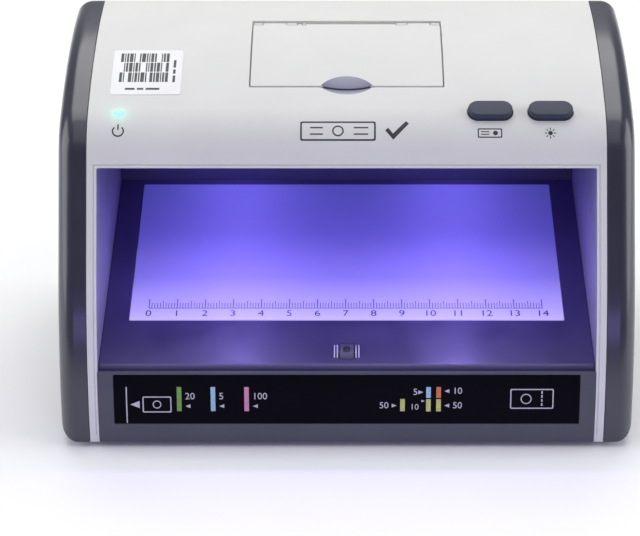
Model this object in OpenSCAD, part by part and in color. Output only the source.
// Counterfeit bill detector: a desk-top hood over a lit, sloping viewing plate. It has
// ultraviolet lamps in the hood, a magnetic sensor head on the sill, two press buttons,
// a power light, and a hinged lid over a magnifier.
// Millimetres. +Z is up, -Y is the front, and the origin is the middle of the footprint
// on the desk.

/* [Body] */
// Overall width across the side caps
body_w = 199; // [196:1:206]
// Overall depth, also the radius of the curved lower front
body_d = 124; // [123:0.5:126]
// Overall height above the desk
body_h = 121; // [120:0.5:123]
// Thickness of the outer shells
wall = 2.2; // [1.8:0.1:2.2]
// Width of one side cap
cap_w = 10.1; // [9:0.1:12]
// Rounding round the outer edge of a side cap
cap_round = 6; // [4:0.5:7]
// Height of the rubber feet
foot_h = 2; // [1.5:0.5:3]

/* [Side outline] */
// Lean of the straight front, in degrees from upright
lean = 28; // [26:1:30]
// Slope of the top at the bend, in degrees
top_slope = 22; // [20:1:24]
// Radius of the long curve over the top
top_r = 165; // [160:1:175]
// Radius of the bend between front and top
bend_r = 24; // [20:1:26]
// Radius of the rear top edge
rear_r = 8; // [5:1:10]
// Length of the level strip at the rear of the top
level_d = 14; // [12:1:16]

/* [Viewing bay] */
// Clear width of the bay
bay_w = 172; // [170:1:174]
// Slope of the bay floor, in degrees
floor_slope = 11.1; // [10:0.1:12]
// Height of the front cross edge of the opening at the top
lip_z = 92.4; // [90:0.2:94]
// Underside of the bay roof
roof_z = 92; // [91:0.5:93]
// Front of the bay's rear wall
rear_wall_y = 52.1; // [52:0.1:53]
// Top edge of the front panel
sill_z = 28.2; // [27:0.2:29]

/* [Light plate] */
// Width of the light plate
plate_w = 154; // [148:1:156]
// Depth of the light plate along the slope
plate_d = 81.1; // [78:0.1:82]
// Thickness of the light plate
plate_t = 2.3; // [2:0.1:2.6]
// Y of the light plate's front edge
plate_y = -30.5; // [-31:0.1:-29]
// Height of the light plate's front edge
plate_z = 33.3; // [33:0.1:34]

/* [Lid and lens] */
// Width of the lid
lid_w = 67.2; // [60:0.2:68]
// Y of the lid's front edge
lid_front = -5.1; // [-6:0.1:-4]
// Y of the lid's hinge pins
pin_y = 34; // [33:0.5:35]
// Thickness of the lid
lid_t = 2; // [1.8:0.1:2.2]
// Radius of the lid's hinge pins
pin_r = 0.5; // [0.4:0.05:0.5]
// Radius of the lens's convex face
lens_r = 160; // [150:5:200]

/* [Buttons and power light] */
// Width of a button
button_w = 15.3; // [14:0.1:16]
// Height of a button's face
button_h = 6.9; // [6:0.1:7]
// How far a button stands out
button_out = 2.3; // [1.5:0.1:3]
// How far a button can be pressed
button_travel = 0.8; // [0.5:0.1:0.8]
// X of the watermark button
watermark_x = 49.5; // [49:0.5:50]
// X of the ultraviolet button
uv_x = 70.3; // [70:0.1:71]
// X of the power light
power_x = -78.6; // [-79:0.2:-76]

/* [Hidden] */
$fn = 64;

// Colours
silver = [0.86, 0.86, 0.85];
slate = [0.25, 0.27, 0.33];
dark_slate = [0.29, 0.30, 0.34];
black = [0.03, 0.02, 0.06];
bay_blue = [0.27, 0.23, 0.55];
wall_blue = [0.42, 0.40, 0.66];
plate_white = [0.80, 0.76, 0.95];
board_green = [0.08, 0.35, 0.20];
steel = [0.70, 0.71, 0.73];
paper = [0.95, 0.95, 0.96];
rubber = [0.08, 0.08, 0.09];
white = [0.92, 0.92, 0.90];
violet = [0.45, 0.30, 0.90];
clear = [0.80, 0.88, 0.95, 0.5];

// Main planes
half_w = body_w / 2;
cap_x = half_w - cap_w;
seam = 0.1;
cover_x = cap_x - seam;
front_y = -body_d / 2;
back_y = body_d / 2;
bay_x = bay_w / 2;
side_wall_t = 2;
roof_t = 2;
roof_top = roof_z + roof_t;
liner_gap = 0.2;
rear_split = 104;

// Centres of the outline's arcs, [y, z]
front_r = body_d;
front_c = [back_y, foot_h];
top_c = [back_y - level_d, body_h - top_r];
rear_c = [back_y - rear_r, body_h - rear_r];
// The bend is tangent to the straight front and to the start of the top
front_end = polar(front_c, front_r, 180 - lean);
top_start = polar(top_c, top_r, 90 + top_slope);
front_way = [sin(lean), cos(lean)];
top_way = [cos(top_slope), sin(top_slope)];
corner = front_end
    + front_way * cross(top_start - front_end, top_way) / cross(front_way, top_way);
half_turn = (90 - lean - top_slope) / 2;
middle_way = top_slope + half_turn;
bend_c = corner + bend_r / cos(half_turn) * [sin(middle_way), -cos(middle_way)];

// Lid, its tray and its hinge
pin_depth = 1.2;
knuckle_r = 1.1;
hinge_run = 0.05;
tray_depth = 2.5;
tray_t = 1.6;
tray_x = 36.5;
tray_front = -9;
tray_rear = 39;
lid_gap = 0.45;
lid_edge = 0.6;
pin_z = top_c.y + sqrt(top_r ^ 2 - (pin_y - top_c.x) ^ 2) - pin_depth;
pocket_rear = pin_y + 1.95;
pocket_front = lid_front - 0.5;
knuckle_x = [22, 30];
lug_x = [[18, 21.7], [30.3, 33.4]];
rib_x = [-15.8, -14.9];
rib_gap = 0.3;
scoop_r = 30;
scoop_half = 9.4;
lid_scoop = 5.5;
cover_scoop = 4.1;

// Lens, in the plane of the lid
lens_y = (lid_front + pin_y) / 2;
lens_w = 57.6;
lens_d = 31.6;
lens_t = 5.5;
lens_top = 6.5;
tube_wall = 2;
tube_w = 62;
tube_d = 36;
ledge = 1;

// Buttons: the switch stands on a small board behind each button
button_angle = 116;
button_gap = 0.3;
flange_out = 1;
flange_top = -3;
flange_t = 1;
stem_r = 1.5;
plunger_r = 1.2;
plunger_top = -5;
plunger_h = 2;
switch_top = -6;
switch_w = 6;
board_t = 1.2;
button_board_z = -8;
button_board_x = [45.4, 80.4];
power_angle = 118;
power_r = 1.5;
power_board_z = -5;

// Bay floor
floor_t = 3;
nose_y = -26;
nose_r = 2.5;
floor_rear = (rear_wall_y + side_wall_t - plate_y) / cos(floor_slope);
pocket_d = 2;
leg_r = 3.5;
leg_spots = [[-82, -46], [82, -46], [-82, 44], [82, 44]];
screw_r = 1.25;
pilot_r = 1.3;

// Base and main board
base_t = 2.4;
base_top = foot_h + base_t;
main_x = [-20, 74];
main_y = [-10, 56];
main_z = 9.4;
main_t = 1.6;
main_top = main_z + main_t;
standoff_spots = [[-16, -6], [70, -6], [-16, 46], [70, 46]];
foot_spots = [[-80, -46], [80, -46], [-80, 46], [80, 46]];
foot_r = 6;
jack_x = 60;
jack_z = main_top + 5.5;

// Front label, in a shallow recess of the front panel
label_x = 80.45;
label_z = [9.4, 27.2];
label_t = 0.5;
label_gap = 0.15;

// Screws through the side walls into the caps: [y, z, x of the face under the head]
cap_screw_spots = [[-34, 14, bay_x], [30, 20, bay_x], [15, 103, bay_x - 2.15]];

// Ultraviolet lamps
uv_led_x = 40;
uv_screw_x = 30;
uv_strip_y = [-18, 43.5];
uv_board_z = 98;
uv_board_w = 88.8;
uv_board_d = 9;
uv_board_t = 1.6;

// Sensor head, a little way back from the sill
head_y = -17.2;
head_w = 5;
head_d = 8.2;
head_r = 6;
head_out = 1.4;

// Backlight under the plate
tray_wall = 1.5;
reflector_h = 9;
led_columns = 7;
led_rows = 4;

// Plugs on the main board: [x, y of the face where the lead leaves, way it faces in y]
plug_spots = [[-8, 50, 1], [68, 12, 1], [4, 50, 1], [30, 4, -1], [10, -4, -1]];
plug_size = [7, 5, 5];
plug_z = main_top + plug_size.z / 2;

// Leads. The first goes up behind the rear wall to the rear lamp board, and the second
// across the hood to the front one
lead_r = 0.9;
uv_route = [[4, 50, plug_z], [4, 53, plug_z], [4, 56.5, 20], [4, 57.2, 40], [4, 57.2, 75],
    [4, 57.2, 92], [4, 56, 99], [4, 51, 102], [4, 46, 103], [4, 43.5, 102], [4, 43.5, 99.6]];
uv_bridge = [[36, 43, 99.6], [36, 43, 102], [36, 38, 104], [36, 12, 104], [36, -12, 103],
    [36, -17.8, 101.5], [36, -17.8, 99.6]];
button_route = [[68, 12, plug_z], [68, 16, plug_z], [68, 30, 13], [69, 48, 14], [70, 56.8, 24],
    [70, 57.2, 45], [70, 57.2, 88], [70, 56, 97], [70, 48, 100], [69, 20, 98], [66, 4, 96.8],
    [65, -2.6, 96.6], [65, -7.37, 98.23], [65, -8.92, 101.34]];
indicator_route = [[-8, 50, plug_z], [-8, 53, plug_z], [-14, 56.5, 22], [-66, 57.2, 60],
    [-72, 57.2, 88], [-72, 56, 97], [-72, 48, 99], [-76, 10, 98], [-78, -2, 97.8],
    [-79, -10.61, 100.05], [-79, -12.29, 103.1]];
backlight_route = [[30, 4, plug_z], [30, 1, plug_z], [22, -5, 15], [8, -8, 18], [0.5, -9.5, 21],
    [0, -10.2, 24]];
sensor_route = [[10, -4, plug_z], [10, -8, plug_z], [8, -20, 9], [2, -34, 8], [0, -42, 9],
    [0, -45.5, 12], [0, -46, 15]];

// Labels: the card on the cover, [x, y], and its lift and thickness
card_x = [-82.2, -57.8];
card_y = [-9.4, 14.5];
card_lift = 0.03;
card_t = 0.15;

// ---- Helpers -------------------------------------------------------------------------

// Point at angle a on the circle with centre c and radius r
function polar(c, r, a) = c + r * [cos(a), sin(a)];

// Points along an arc, about one every step degrees
function arc(c, r, a0, a1, step = 2) =
    let (n = max(1, ceil(abs(a1 - a0) / step)))
    [for (i = [0:n]) polar(c, r, a0 + (a1 - a0) * i / n)];

// Curved strip between radii r0 and r1
function band(c, r0, r1, a0, a1) = concat(arc(c, r1, a0, a1), arc(c, r0, a1, a0));

// Side outline of the body, [y, z], moved in by inset and run down below the base by drop
function outline(inset = 0, drop = 0) = concat(
    [[front_y + inset, foot_h - drop]],
    arc(front_c, front_r - inset, 180, 180 - lean),
    arc(bend_c, bend_r - inset, 180 - lean, 90 + top_slope, 4),
    arc(top_c, top_r - inset, 90 + top_slope, 90),
    arc(rear_c, rear_r - inset, 90, 0, 15),
    [[back_y - inset, foot_h - drop]]
);

// Angle on the top curve above a given y
function top_angle(y) = 90 + asin((top_c.x - y) / top_r);

// Angle on the curved lower front at a given height
function front_angle(z) = 180 - asin((z - foot_h) / front_r);

// Height of the bay floor at a given y
function floor_z(y) = plate_z + (y - plate_y) * tan(floor_slope);

// Smooth route through hand-placed points: two steps for each stretch
function spline(p0, p1, p2, p3, t) = 0.5 * (2 * p1 + (p2 - p0) * t
    + (2 * p0 - 5 * p1 + 4 * p2 - p3) * t ^ 2 + (3 * p1 - p0 - 3 * p2 + p3) * t ^ 3);
function route(p) = let (last = len(p) - 1) concat(
    [for (i = [0:last - 1], t = [0, 0.5])
        spline(p[max(i - 1, 0)], p[i], p[i + 1], p[min(i + 2, last)], t)],
    [p[last]]
);

// Extrudes a side view, [y, z], from x0 to x1
module along_x(x0, x1) {
    translate([x0, 0, 0]) rotate([90, 0, 90]) linear_extrude(x1 - x0) children();
}

// Part of a side view between two heights
module between_z(z0, z1) {
    intersection() {
        children();
        translate([front_y - 5, z0]) square([body_d + 10, z1 - z0]);
    }
}

module rod_x(x0, x1, r) {
    translate([x0, 0, 0]) rotate([0, 90, 0]) cylinder(r = r, h = x1 - x0);
}

module both_sides() {
    children();
    mirror([1, 0, 0]) children();
}

// Flat shape with round ends
module pill(w, h) {
    square([w - h, h], center = true);
    for (s = [-1, 1]) translate([s * (w - h) / 2, 0]) circle(d = h);
}

// Box centred in x and y, with its top at z
module plate_at(w, d, t, z) {
    translate([-w / 2, -d / 2, z - t]) cube([w, d, t]);
}

// Local frame of the bay floor: origin at the light plate's front edge, +y up the slope
module on_floor() {
    translate([0, plate_y, plate_z]) rotate([floor_slope, 0, 0]) children();
}

// Local frame on the bend, +z straight out of the cover
module on_bend(x, angle) {
    spot = polar(bend_c, bend_r, angle);
    translate([x, spot.x, spot.y]) rotate([angle - 90, 0, 0]) children();
}

// Local frame on the top curve, +z straight out of the cover
module on_top(y) {
    spot = polar(top_c, top_r, top_angle(y));
    translate([0, spot.x, spot.y]) rotate([top_angle(y) - 90, 0, 0]) children();
}

// Pan-head screw, point downwards, with its head above z = 0
module screw(r, length, head_r, head_h) {
    translate([0, 0, -length]) cylinder(r = r, h = length);
    cylinder(r = head_r, h = head_h);
}

// Unit vector nearest to s that is square to w
function square_off(s, w) = let (u = w / norm(w), v = s - (s * u) * u) v / norm(v);

// Insulated lead along a route: rings of eight points joined into one closed tube. Each
// ring's first point is carried on from the ring before it, so that the tube doesn't twist
module lead(points) {
    path = route(points);
    n = len(path);
    sides = 8;
    last = len(points) - 1;
    way = concat([points[1] - points[0]], [for (i = [1:n - 2]) path[i + 1] - path[i - 1]],
        [points[last] - points[last - 1]]);
    side = [for (i = 0, s = square_off([1, 0, 0], way[0]); i < n;
        i = i + 1, s = square_off(s, way[min(i, n - 1)])) s];
    rings = [for (i = [0:n - 1], k = [0:sides - 1])
        let (rise = cross(way[i], side[i]) / norm(way[i]), a = k * 360 / sides)
        path[i] + lead_r * (cos(a) * side[i] + sin(a) * rise)];
    skin = [for (i = [0:n - 2], k = [0:sides - 1], half = [0, 1])
        let (a = i * sides + k, b = i * sides + (k + 1) % sides)
        half == 0 ? [b + sides, b, a] : [a + sides, b + sides, a]];
    ends = [[for (k = [0:sides - 1]) k], [for (k = [sides - 1:-1:0]) (n - 1) * sides + k]];
    polyhedron(rings, concat(skin, ends), convexity = 6);
}

// Sphere that scoops a finger dish: its rim passes the ends of the notch and a point
// reach away from the seam between lid and cover
module scoop(reach, way) {
    rim_r = (scoop_half ^ 2 + reach ^ 2) / (2 * reach);
    seam_angle = top_angle(lid_front - 0.25);
    angle = seam_angle + way * (rim_r - reach) / top_r * 180 / PI;
    centre = polar(top_c, top_r + sqrt(scoop_r ^ 2 - rim_r ^ 2), angle);
    translate([0, centre.x, centre.y]) sphere(r = scoop_r, $fn = 120);
}

// ---- Outer shells --------------------------------------------------------------------

module base_tray() {
    rim_t = 1.6;
    rim_h = 5;
    inner_y = [front_y + wall + liner_gap, back_y - wall - liner_gap];
    depth = inner_y[1] - inner_y[0];
    color(dark_slate) difference() {
        union() {
            translate([-cover_x, inner_y[0], foot_h]) cube([2 * cover_x, depth, base_t]);
            // low rims behind the front and back panels
            for (y = [inner_y[0] + 0.6, inner_y[1] - rim_t - 0.2])
                translate([-75, y, foot_h + base_t / 2]) cube([150, rim_t, rim_h]);
            for (p = standoff_spots)
                translate([p.x, p.y, foot_h + base_t / 2]) cylinder(r = 3, h = main_z - foot_h - base_t / 2);
        }
        for (p = standoff_spots) translate([p.x, p.y, base_top]) cylinder(r = 1.1, h = 10);
        // screw holes with counterbores for the heads
        for (p = leg_spots) translate([p.x, p.y, foot_h - 1]) {
            cylinder(r = 1.6, h = 10);
            cylinder(r = 3.1, h = 2.3);
        }
        // air slots under the main board
        for (i = [0:7]) translate([-66 + i * 5, 0, foot_h - 1]) linear_extrude(5) rotate(90) pill(24, 2);
    }
}

module rubber_feet() {
    color(rubber) for (p = foot_spots) translate([p.x, p.y, 0]) {
        cylinder(r1 = foot_r - 0.6, r2 = foot_r, h = 0.6);
        translate([0, 0, 0.6]) cylinder(r = foot_r, h = foot_h - 0.6);
    }
}

module base_screws() {
    color(steel) for (p = leg_spots)
        translate([p.x, p.y, foot_h + 1.3]) rotate([180, 0, 0]) screw(screw_r, 10, 2.8, 1.2);
}

// Curved panel under the sill, with a shallow recess for its label
module front_panel() {
    side_gap = 0.1;
    color(dark_slate) difference() {
        along_x(-bay_x + side_gap, bay_x - side_gap) between_z(foot_h, sill_z) difference() {
            polygon(outline());
            polygon(outline(wall, 5));
            translate([0, -10]) square(200);
        }
        along_x(-label_x - label_gap, label_x + label_gap) polygon(band(front_c, front_r - label_t,
            front_r + 1, front_angle(label_z[0] - label_gap), front_angle(label_z[1] + label_gap)));
    }
}

module front_label() {
    color(black) along_x(-label_x, label_x) polygon(band(front_c, front_r - label_t + 0.05,
        front_r - 0.05, front_angle(label_z[0]), front_angle(label_z[1])));
}

module top_cover() {
    color(silver) difference() {
        union() {
            difference() {
                union() {
                    along_x(-cover_x, cover_x) difference() {
                        polygon(outline());
                        polygon(outline(wall, 5));
                        translate([back_y - 20, -5]) square([30, rear_split + 5]);
                    }
                    // tray under the lid
                    along_x(-tray_x, tray_x) intersection() {
                        difference() {
                            polygon(outline(wall / 2));
                            polygon(outline(tray_depth + tray_t));
                        }
                        translate([tray_front, 80]) square([tray_rear - tray_front, 60]);
                    }
                }
                // pocket for the lid
                along_x(-lid_w / 2 - lid_gap, lid_w / 2 + lid_gap) polygon(band(top_c,
                    top_r - tray_depth, top_r + 4, top_angle(pocket_front), top_angle(pocket_rear)));
                scoop(cover_scoop, -1);
            }
            hinge_lugs();
        }
        // viewing opening, cut square to the leaning front
        along_x(-bay_x, bay_x) translate(front_end
            + front_way * (lip_z - front_end.y) / front_way.y) rotate(-lean)
            translate([-20, -200]) square([80, 200]);
        // window under the lid
        on_top(lens_y) plate_at(54, 28, 12, 4);
        // holes for the buttons and the power light
        for (x = [watermark_x, uv_x]) on_bend(x, button_angle) translate([0, 0, -6])
            linear_extrude(12) pill(button_w + 2 * button_gap, button_h + 2 * button_gap);
        on_bend(power_x, power_angle) translate([0, 0, -4]) cylinder(r = power_r + 0.15, h = 8);
        hinge_axis() for (x = lug_x) both_sides() rod_x(x[0] - 1, x[1] + 1, pin_r + 0.02);
    }
}

module hinge_axis() {
    translate([0, pin_y, pin_z]) children();
}

// Lugs that hold the hinge pins, and a rib that keeps the lid from sliding sideways
module hinge_lugs() {
    down = tray_depth - pin_depth + 0.4;
    hinge_axis() both_sides() for (x = lug_x) {
        rod_x(x[0], x[1], knuckle_r);
        translate([x[0], -knuckle_r, -down]) cube([x[1] - x[0], 2 * knuckle_r, down]);
    }
    translate([rib_x[0], pin_y - knuckle_r, pin_z - down])
        cube([rib_x[1] - rib_x[0], pocket_rear - pin_y + knuckle_r + 0.3, down + knuckle_r - 0.1]);
}

module back_panel() {
    edge = 0.2;
    color(dark_slate) difference() {
        translate([-cover_x + edge, back_y - wall, foot_h])
            cube([2 * (cover_x - edge), wall, rear_split - edge - foot_h]);
        translate([jack_x, back_y + 1, jack_z]) rotate([90, 0, 0]) cylinder(r = 4, h = 10);
        // air slots
        for (i = [0:11], row = [0, 1])
            translate([-70 + i * 6, back_y + 1, 16 + row * 62]) rotate([90, 0, 0])
                linear_extrude(10) rotate(90) pill(14, 2.4);
    }
}

// One end of the body: a dished cap with a rounded outer edge and three screw bosses
module side_cap() {
    steps = 6;
    cavity_inset = 3.2;
    floor_x = half_w - 2.4;
    boss_r = 4;
    difference() {
        union() {
            difference() {
                hull() {
                    cap_slice(cap_x, 0);
                    for (i = [0:steps]) let (a = 90 * i / steps)
                        cap_slice(half_w - cap_round * (1 - sin(a)) - 0.01, cap_round * (1 - cos(a)));
                }
                along_x(cap_x - 1, floor_x) between_z(foot_h + cavity_inset, body_h)
                    polygon(outline(cavity_inset));
            }
            for (s = cap_screw_spots) translate([0, s.x, s.y])
                rod_x(bay_x + side_wall_t, floor_x + 1, boss_r);
        }
        for (s = cap_screw_spots) translate([0, s.x, s.y]) rod_x(cap_x - 5, half_w - 3.6, pilot_r);
    }
}

// Thin slice of the outline for the cap's rounded edge, drawn in from the base as well
module cap_slice(x, inset) {
    along_x(x, x + 0.01) between_z(foot_h + inset, body_h) polygon(outline(inset));
}

module left_side_cap() {
    color(slate) mirror([1, 0, 0]) side_cap();
}

module right_side_cap() {
    color(slate) side_cap();
}

module cap_screws() {
    grip = 7.4;
    color(steel) both_sides() for (s = cap_screw_spots) translate([s[2], s.x, s.y])
        rotate([0, -90, 0]) screw(screw_r, bay_x - s[2] + grip + side_wall_t, 2.8, 1.8);
}

// ---- Viewing bay ---------------------------------------------------------------------

module side_wall() {
    inset = wall + liner_gap;
    difference() {
        along_x(bay_x, bay_x + side_wall_t) between_z(base_top, body_h) polygon(outline(inset));
        for (s = cap_screw_spots) translate([0, s.x, s.y]) rod_x(bay_x - 1, bay_x + 4, 1.6);
    }
}

module left_side_wall() {
    color(wall_blue) mirror([1, 0, 0]) side_wall();
}

module right_side_wall() {
    color(wall_blue) side_wall();
}

module rear_wall() {
    x = bay_x - 0.15;
    back = rear_wall_y + side_wall_t;
    // its foot follows the floor that it stands on
    color(bay_blue) along_x(-x, x) polygon([[rear_wall_y, roof_z], [rear_wall_y, floor_z(rear_wall_y)],
        [back, floor_z(back)], [back, roof_z]]);
}

// Ceiling of the bay: holds the lamp boards, the lens tube and the small boards in the hood
module roof_panel() {
    roof_x = bay_x - 0.15;
    tab_t = 2;
    color(bay_blue) difference() {
        union() {
            along_x(-roof_x, roof_x) intersection() {
                between_z(roof_z, roof_top) polygon(outline(wall + 0.15));
                translate([front_y, 0]) square([rear_wall_y + side_wall_t - front_y, 200]);
            }
            both_sides() for (y = uv_strip_y)
                translate([uv_screw_x, y, roof_top - 1]) cylinder(r = 2.2, h = uv_board_z - roof_top + 1);
            both_sides() translate([roof_x - tab_t, cap_screw_spots[2].x - 7, roof_top - 1])
                cube([tab_t, 14, 15]);
            for (x = [46, 59, 78]) board_rib(x, 1.8, button_angle, button_board_z - board_t, 5);
            for (x = [-84, -76]) board_rib(x, 1.8, power_angle, power_board_z - board_t, 4);
        }
        both_sides() for (y = uv_strip_y) {
            translate([uv_led_x, y, roof_z - 1]) cylinder(r = 3, h = 5);
            translate([uv_screw_x, y, roof_top]) cylinder(r = 0.95, h = 10);
        }
        // opening under the lens tube
        on_top(lens_y) plate_at(tube_w - 2 * tube_wall, tube_d - 2 * tube_wall, 60, 0);
        // clear holes for the two screws that hold the tabs
        both_sides() translate([0, cap_screw_spots[2].x, cap_screw_spots[2].y]) rod_x(bay_x - 10, bay_x, 1.6);
    }
}

// Upright rib from the roof panel to the back of a tilted board
module board_rib(x, t, angle, depth, half) {
    slack = 0.02;
    foot = polar(bend_c, bend_r + depth - slack, angle);
    up = [sin(angle), -cos(angle)];
    low = foot - half * up;
    high = foot + half * up;
    along_x(x, x + t) polygon([low, high, [high.x, roof_top - 1], [low.x, roof_top - 1]]);
}

// Sloping floor with a rounded sill, a stepped opening for the light plate and four legs
module platform() {
    floor_x = bay_x - 0.15;
    skirt = 5;
    color(bay_blue) difference() {
        union() {
            on_floor() {
                along_x(-floor_x, floor_x) polygon(concat(
                    arc([nose_y + nose_r, -nose_r], nose_r, 90, 180, 15),
                    [[nose_y, -skirt - floor_t], [nose_y + 2, -skirt - floor_t], [nose_y + 2, -floor_t],
                    [floor_rear, -floor_t], [floor_rear, 0]]));
                head_guides();
            }
            for (p = leg_spots) translate([p.x, p.y, base_top]) cylinder(r = leg_r,
                h = floor_z(p.y) - floor_t / 2 - 0.5 - base_top);
        }
        on_floor() {
            translate([0, plate_d / 2, 0]) {
                plate_at(plate_w + 0.3, plate_d + 0.3, 10, 10 - pocket_d);
                plate_at(plate_w - 4, plate_d - 3.7, 20, 10);
            }
            translate([0, head_y, 0]) plate_at(head_w + 0.3, head_d + 0.3, 20, 10);
        }
        for (p = leg_spots) translate([p.x, p.y, base_top - 1]) cylinder(r = pilot_r, h = 13);
    }
}

// Two low arched rails on each side of the sensor head
module head_guides() {
    rail_w = 0.5;
    for (x = [3, 4]) both_sides() intersection() {
        translate([0, head_y, head_out - 0.3 - head_r]) rod_x(x, x + rail_w, head_r);
        translate([x, head_y - head_d / 2, -1]) cube([rail_w, head_d, 5]);
    }
}

module light_plate() {
    color(plate_white) on_floor() translate([0, plate_d / 2, 0])
        plate_at(plate_w, plate_d, plate_t, plate_t - pocket_d);
}

module reflector_tray() {
    w = plate_w + 2;
    d = plate_d + 2.3;
    color(white) on_floor() translate([0, plate_d / 2, -floor_t]) difference() {
        plate_at(w, d, reflector_h, 0);
        plate_at(w - 2 * tray_wall, d - 2 * tray_wall, reflector_h, tray_wall);
        translate([0, -20, -reflector_h - 1]) cylinder(r = 2, h = 4);
    }
}

module backlight_board() {
    color(white) on_floor() translate([0, plate_d / 2, -floor_t - reflector_h + tray_wall + board_t])
        plate_at(148, 74, board_t, 0);
}

module backlight_leds() {
    pitch_x = 20;
    pitch_y = 18;
    color(paper) on_floor()
        translate([0, plate_d / 2, -floor_t - reflector_h + tray_wall + board_t])
            for (i = [0:led_columns - 1], j = [0:led_rows - 1])
                translate([(i - (led_columns - 1) / 2) * pitch_x, (j - (led_rows - 1) / 2) * pitch_y, 0])
                    plate_at(3.5, 2.8, 0.9, 0.9);
}

// Magnetic pick-up with an arched face that stands just above the floor
module sensor_head() {
    below = 9;
    color(dark_slate) on_floor() translate([0, head_y, 0]) difference() {
        intersection() {
            translate([0, 0, head_out - head_r]) rod_x(-head_w / 2, head_w / 2, head_r);
            plate_at(head_w, head_d, 20, 10);
            plate_at(head_w, head_d, head_r, head_out);
        }
        // window in the middle of the face
        plate_at(2.2, 3.4, 1, 2.1);
    }
    color(dark_slate) on_floor() translate([0, head_y, 0])
        plate_at(head_w, head_d, below, head_out - head_r + 0.1);
}

// Clip under the floor that carries the sensor head
module sensor_bracket() {
    wide = 16;
    deep = 11;
    color(dark_slate) on_floor() translate([0, head_y, 0]) difference() {
        plate_at(wide, deep, 8, -floor_t - 0.05);
        plate_at(head_w + 0.2, head_d + 0.2, 20, 5);
    }
}

// ---- Hood ----------------------------------------------------------------------------

module uv_boards() {
    color(board_green) for (y = uv_strip_y) translate([0, y, 0]) difference() {
        plate_at(uv_board_w, uv_board_d, uv_board_t, uv_board_z + uv_board_t);
        both_sides() translate([uv_screw_x, 0, uv_board_z - 1]) cylinder(r = 1.2, h = 4);
    }
}

module uv_leds() {
    r = 2.5;
    straight = 5.2;
    color(violet) for (y = uv_strip_y) both_sides() translate([uv_led_x, y, uv_board_z - straight]) {
        cylinder(r = r, h = straight);
        sphere(r = r);
    }
}

module uv_screws() {
    color(steel) for (y = uv_strip_y) both_sides()
        translate([uv_screw_x, y, uv_board_z + uv_board_t]) screw(0.9, 4.5, 1.9, 1.2);
}

// Curved flange under the cover's tray, with a tube down to the bay roof
module lens_frame() {
    flange = 1.6;
    gap = 0.05;
    top = tray_depth + tray_t + gap;
    color(dark_slate) difference() {
        union() {
            along_x(-tray_x, tray_x) intersection() {
                difference() {
                    polygon(outline(top));
                    polygon(outline(top + flange));
                }
                translate([tray_front, 80]) square([tray_rear - tray_front, 60]);
            }
            intersection() {
                on_top(lens_y) plate_at(tube_w, tube_d, 40, 0);
                along_x(-50, 50) between_z(roof_top, body_h) polygon(outline(top));
            }
        }
        // bore of the tube, with a ledge for the lens
        on_top(lens_y) {
            plate_at(tube_w - 2 * tube_wall, tube_d - 2 * tube_wall, lens_top + lens_t, 0);
            plate_at(tube_w - 2 * tube_wall - 2 * ledge, tube_d - 2 * tube_wall - 2 * ledge, 60, 0);
        }
    }
}

module magnifier_lens() {
    color(clear) on_top(lens_y) intersection() {
        plate_at(lens_w, lens_d, lens_t, -lens_top);
        translate([0, 0, -lens_top - lens_r]) sphere(r = lens_r, $fn = 200);
    }
}

// ---- Lid -----------------------------------------------------------------------------

module lid() {
    rear = top_angle(pin_y - lid_edge);
    color(silver) difference() {
        union() {
            difference() {
                along_x(-lid_w / 2, lid_w / 2)
                    polygon(band(top_c, top_r - lid_t, top_r, top_angle(lid_front), rear));
                scoop(lid_scoop, 1);
                // room for the cover's lugs and rib
                for (x = lug_x) both_sides() lug_room(x[0], x[1]);
                lug_room(rib_x[0], rib_x[1]);
            }
            hinge_axis() both_sides() rod_x(knuckle_x[0], knuckle_x[1], knuckle_r);
        }
        hinge_axis() both_sides() rod_x(knuckle_x[0] - 1, knuckle_x[1] + 1, pin_r + hinge_run);
    }
}

module lug_room(x0, x1) {
    translate([x0 - rib_gap, pin_y - knuckle_r - 0.5, pin_z - 5]) cube([x1 - x0 + 2 * rib_gap, 5, 10]);
}

module lid_hinge_pins() {
    color(steel) hinge_axis() both_sides() rod_x(lug_x[0][0], lug_x[1][1], pin_r);
}

// ---- Buttons and power light ---------------------------------------------------------

// Button with a flange that holds it under the cover and a stem that meets the switch
module button(x) {
    skirt = flange_top - flange_t;
    on_bend(x, button_angle) {
        translate([0, 0, skirt]) linear_extrude(button_out - skirt) pill(button_w, button_h);
        translate([0, 0, skirt]) linear_extrude(flange_t)
            pill(button_w + 2 * flange_out, button_h + 2 * flange_out);
        translate([0, 0, plunger_top]) cylinder(r = stem_r, h = skirt - plunger_top + 0.5);
    }
}

module watermark_button() {
    color(slate) button(watermark_x);
}

module uv_button() {
    color(slate) button(uv_x);
}

module plunger(x) {
    on_bend(x, button_angle) translate([0, 0, plunger_top - plunger_h]) cylinder(r = plunger_r, h = plunger_h);
}

module watermark_plunger() {
    color(white) plunger(watermark_x);
}

module uv_plunger() {
    color(white) plunger(uv_x);
}

module switch_bodies() {
    well = plunger_h - 1 + button_travel + 0.1;
    color(black) for (x = [watermark_x, uv_x]) on_bend(x, button_angle) difference() {
        plate_at(switch_w, switch_w, switch_top - button_board_z, switch_top);
        translate([0, 0, switch_top - well]) cylinder(r = plunger_r + 0.08, h = well + 1);
    }
}

module button_board() {
    middle = (button_board_x[0] + button_board_x[1]) / 2;
    color(board_green) on_bend(middle, button_angle)
        plate_at(button_board_x[1] - button_board_x[0], 12, board_t, button_board_z);
}

module indicator_board() {
    color(board_green) on_bend(power_x, power_angle) plate_at(12, 10, board_t, power_board_z);
}

module power_led() {
    dome_z = -0.5;
    color([0.3, 0.95, 0.75]) on_bend(power_x, power_angle) {
        translate([0, 0, power_board_z]) cylinder(r = power_r, h = dome_z - power_board_z);
        translate([0, 0, dome_z]) sphere(r = power_r);
    }
}

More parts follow.
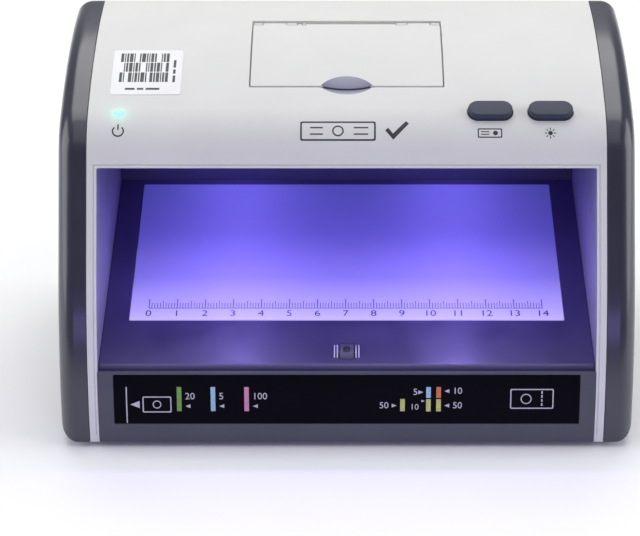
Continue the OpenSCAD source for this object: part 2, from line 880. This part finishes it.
// ---- Electronics ---------------------------------------------------------------------

module main_board() {
    color(board_green) difference() {
        translate([main_x[0], main_y[0], main_z])
            cube([main_x[1] - main_x[0], main_y[1] - main_y[0], main_t]);
        for (p = standoff_spots) translate([p.x, p.y, main_z - 1]) cylinder(r = 1.5, h = 4);
    }
}

module board_parts() {
    color([0.15, 0.15, 0.17]) translate([0, 0, main_top]) {
        translate([44, 44, 0]) cylinder(r = 4, h = 9);
        translate([34, 44, 0]) cylinder(r = 4, h = 9);
        translate([20, 20, 0]) cylinder(r = 6, h = 6);
        translate([40, 22, 0]) cube([9, 9, 5]);
        translate([54, 24, 0]) cube([6, 5, 1.6]);
        translate([-6, 10, 0]) cube([11, 8, 2]);
    }
}

module board_connectors() {
    color(white) for (p = plug_spots)
        translate([p.x - plug_size.x / 2, p.y - (p[2] > 0 ? plug_size.y : 0), main_top]) cube(plug_size);
}

module board_screws() {
    color(steel) for (p = standoff_spots) translate([p.x, p.y, main_top]) screw(1.05, 5.5, 2.4, 1.6);
}

// Power inlet: a socket with a centre pin, its face in the back panel
module dc_jack() {
    face = back_y - 0.2;
    socket_r = 2.85;
    socket_d = 9;
    color(black) {
        difference() {
            union() {
                translate([jack_x - 4.5, back_y - wall - 14, main_top]) cube([9, 14, 10]);
                translate([jack_x, face, jack_z]) rotate([90, 0, 0]) cylinder(r = 3.9, h = wall + 1);
            }
            translate([jack_x, face + 1, jack_z]) rotate([90, 0, 0]) cylinder(r = socket_r, h = socket_d + 1);
        }
    }
    color(steel) translate([jack_x, face - 0.8, jack_z]) rotate([90, 0, 0]) cylinder(r = 1.05, h = socket_d);
}

// ---- Leads ---------------------------------------------------------------------------

module uv_lead() {
    color([0.55, 0.15, 0.15]) {
        lead(uv_route);
        lead(uv_bridge);
    }
}

module button_lead() {
    color([0.75, 0.65, 0.15]) lead(button_route);
}

module indicator_lead() {
    color([0.2, 0.55, 0.3]) lead(indicator_route);
}

module backlight_lead() {
    color([0.8, 0.8, 0.8]) lead(backlight_route);
}

module sensor_lead() {
    color([0.35, 0.35, 0.4]) lead(sensor_route);
}

// ---- Labels --------------------------------------------------------------------------

module info_sticker() {
    color(paper) along_x(card_x[0], card_x[1]) polygon(band(top_c, top_r + card_lift,
        top_r + card_lift + card_t, top_angle(card_y[0]), top_angle(card_y[1])));
}

module rating_label() {
    color(paper) translate([-30, -30, foot_h - 0.15]) cube([60, 24, 0.15]);
}

base_tray();
rubber_feet();
base_screws();
front_panel();
front_label();
top_cover();
back_panel();
left_side_cap();
right_side_cap();
left_side_wall();
right_side_wall();
cap_screws();
rear_wall();
roof_panel();
platform();
light_plate();
reflector_tray();
backlight_board();
backlight_leds();
sensor_head();
sensor_bracket();
uv_boards();
uv_leds();
uv_screws();
lens_frame();
magnifier_lens();
lid();
lid_hinge_pins();
watermark_button();
uv_button();
watermark_plunger();
uv_plunger();
button_board();
switch_bodies();
indicator_board();
power_led();
main_board();
board_parts();
board_connectors();
board_screws();
dc_jack();
uv_lead();
button_lead();
indicator_lead();
backlight_lead();
sensor_lead();
info_sticker();
rating_label();
